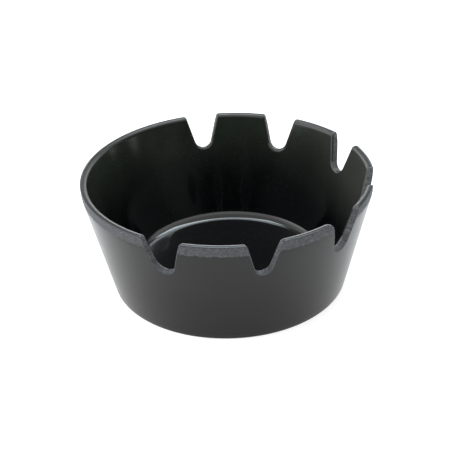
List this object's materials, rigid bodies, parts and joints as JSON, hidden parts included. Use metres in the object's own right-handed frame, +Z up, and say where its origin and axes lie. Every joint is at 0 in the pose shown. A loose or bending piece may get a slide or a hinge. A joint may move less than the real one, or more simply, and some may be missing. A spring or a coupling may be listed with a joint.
{
  "type": "ashtray",
  "caption": "Deep round tabletop ashtray, tapered towards its base, with round-bottomed cigarette rests cut down into part of its rim.",
  "frame": {"origin": "centre of the base, on the surface that the ashtray stands on", "axes": "+Z up; +X through the middle notch, so the plain stretch of rim faces -X"},
  "size_m": [0.1075, 0.108, 0.0435],
  "materials": {
    "black_moulding": "satin outside, glossy inside, dull speckled grey where the rim and the notches are sanded"
  },
  "bodies": {
    "root": {"bowl": "black_moulding"}
  },
  "joints": []
}
